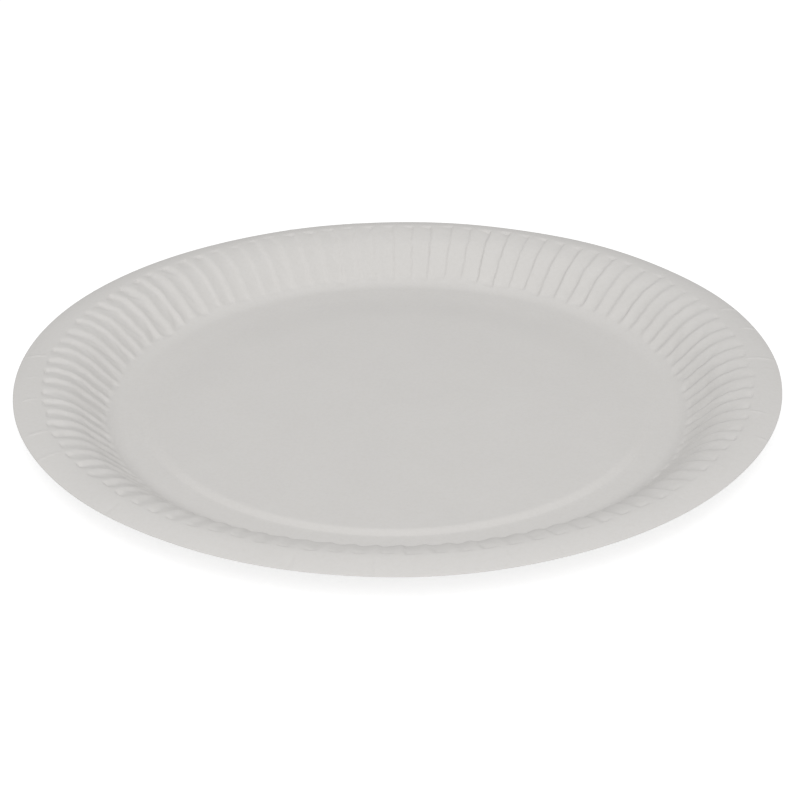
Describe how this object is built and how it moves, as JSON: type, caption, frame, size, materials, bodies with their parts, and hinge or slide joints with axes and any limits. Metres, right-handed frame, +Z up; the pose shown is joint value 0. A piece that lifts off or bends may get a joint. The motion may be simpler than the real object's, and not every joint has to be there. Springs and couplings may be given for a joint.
{
  "type": "paper plate",
  "caption": "Round pressed board plate with a raised flat middle, a pleated sloping wall and a smooth rolled-down rim.",
  "frame": {"origin": "on the plate's axis, in the plane that its flat base ring stands on", "axes": "+Z up along the plate's axis, out of its food side; X and Y lie in the plane that it stands on"},
  "size_m": [0.23, 0.23, 0.0133],
  "materials": {
    "board": "matte uncoated off-white paper board"
  },
  "bodies": {
    "root": {"plate": "board"}
  },
  "joints": []
}
